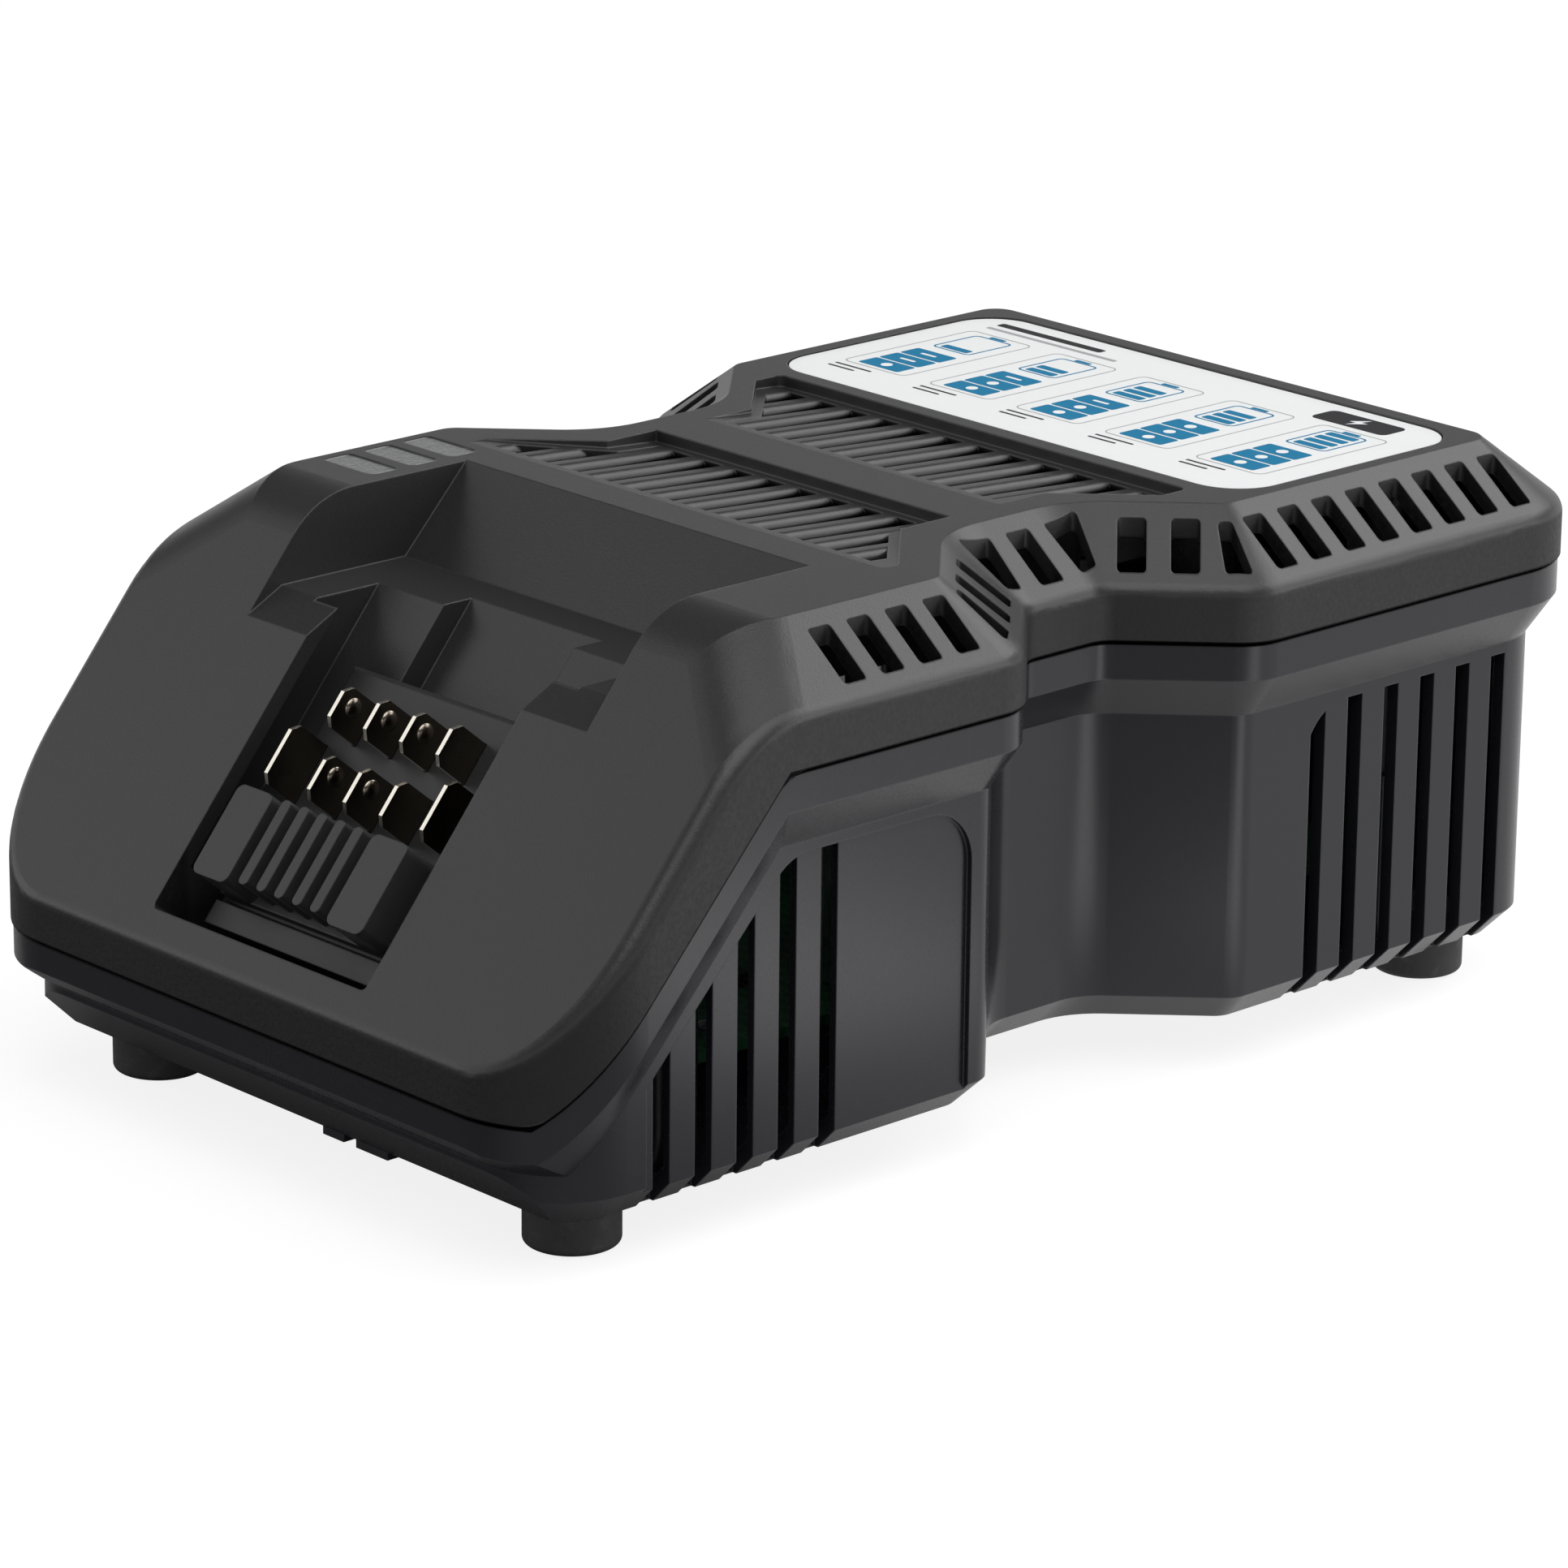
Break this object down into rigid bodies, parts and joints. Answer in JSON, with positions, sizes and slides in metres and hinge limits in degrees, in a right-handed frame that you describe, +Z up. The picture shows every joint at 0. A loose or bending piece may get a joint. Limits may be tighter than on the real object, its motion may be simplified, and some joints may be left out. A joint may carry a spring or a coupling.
{
  "type": "power tool battery charger",
  "caption": "Tabletop charger with a waisted vented case, a sloping battery dock with blade contacts, top grilles, status windows and rubber feet.",
  "frame": {"origin": "on the ground, under the middle of the case's length and width", "axes": "+X to the right seen from the dock, +Y towards the back, +Z up"},
  "size_m": [0.142, 0.229, 0.0923],
  "materials": {
    "blade_metal": "plated brass",
    "block_plastic": "black moulded plastic",
    "board_green": "green laminate",
    "capacitor_sleeve": "dark plastic sleeve",
    "chip_epoxy": "black epoxy",
    "coil_tape": "yellow insulating tape",
    "fan_plastic": "black moulded plastic",
    "ferrite": "dark sintered ferrite",
    "foot_rubber": "black rubber",
    "fuse_glass": "glass tube",
    "gland_rubber": "black moulded plastic",
    "label_film": "satin white film with teal symbols",
    "light_body": "white light emitter bodies",
    "lower_plastic": "satin dark grey moulded plastic",
    "screw_steel": "zinc plated steel",
    "sink_aluminium": "plain extruded aluminium",
    "upper_plastic": "matte charcoal moulded plastic",
    "winding_copper": "enamelled copper winding",
    "window_clear": "clear moulded plastic"
  },
  "bodies": {
    "case": {"board_screws": "screw_steel", "bulk_capacitor": "capacitor_sleeve", "case_screws": "screw_steel", "choke_coil": "winding_copper", "contact_board": "board_green", "contact_comb": "block_plastic", "control_chip": "chip_epoxy", "fan_frame": "fan_plastic", "fan_screws": "screw_steel", "fan_stator": "winding_copper", "fuse": "fuse_glass", "fuse_clips": "blade_metal", "gland_nut": "gland_rubber", "heat_sink_left": "sink_aluminium", "heat_sink_right": "sink_aluminium", "indicator_lights": "light_body", "label_plate": "label_film", "light_board": "board_green", "light_window_1": "window_clear", "light_window_2": "window_clear", "light_window_3": "window_clear", "lower_shell": "lower_plastic", "main_board": "board_green", "mains_gland": "gland_rubber", "output_capacitors": "capacitor_sleeve", "power_blade_1": "blade_metal", "power_blade_2": "blade_metal", "power_transistors": "chip_epoxy", "rear_blade_1": "blade_metal", "rear_blade_2": "blade_metal", "rear_blade_3": "blade_metal", "rear_blade_4": "blade_metal", "rubber_foot_1": "foot_rubber", "rubber_foot_2": "foot_rubber", "rubber_foot_3": "foot_rubber", "rubber_foot_4": "foot_rubber", "signal_blade_1": "blade_metal", "signal_blade_2": "blade_metal", "signal_blade_3": "blade_metal", "terminal_block": "block_plastic", "transformer_coil": "coil_tape", "transformer_core": "ferrite", "upper_shell": "upper_plastic"},
    "fan": {"fan_rotor": "fan_plastic"}
  },
  "joints": [
    {"name": "fan_spin", "type": "hinge", "parent": "case", "child": "fan", "pos_m": [0, 0.0065, 0.076], "axis": [0, 0, 1], "continuous": true}
  ]
}
